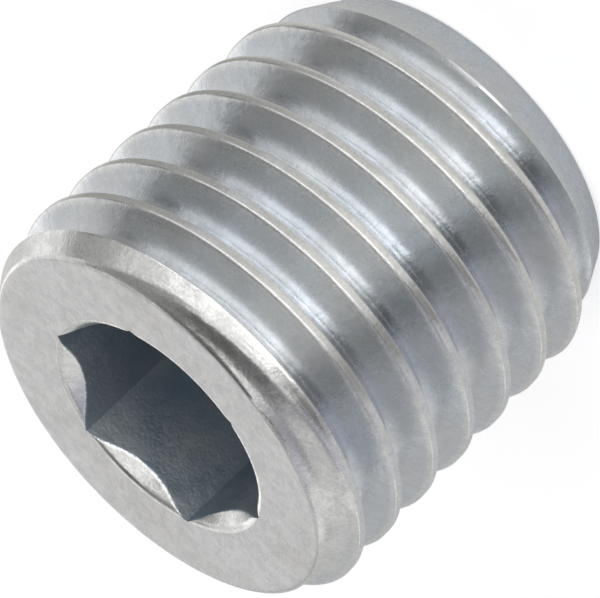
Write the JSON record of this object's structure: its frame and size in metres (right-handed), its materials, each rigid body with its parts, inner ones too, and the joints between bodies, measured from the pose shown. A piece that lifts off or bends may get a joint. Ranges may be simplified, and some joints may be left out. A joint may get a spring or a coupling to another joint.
{
  "type": "pipe plug",
  "caption": "Headless taper-threaded pipe plug with a hexagon socket in its wide end, one solid piece of plated steel that seals a threaded port.",
  "frame": {"origin": "centre of the flat small end, which the plug stands on", "axes": "+Z along the thread axis, out of the socket in the wide end; a corner of the hexagon lies 15 degrees from +X towards +Y"},
  "size_m": [0.0082, 0.0082, 0.008],
  "materials": {
    "plug": "thin bright zinc plating with a faint blue passivated tint, satin on the thread and matte on the flat face"
  },
  "bodies": {
    "root": {"plug": "plug"}
  },
  "joints": []
}
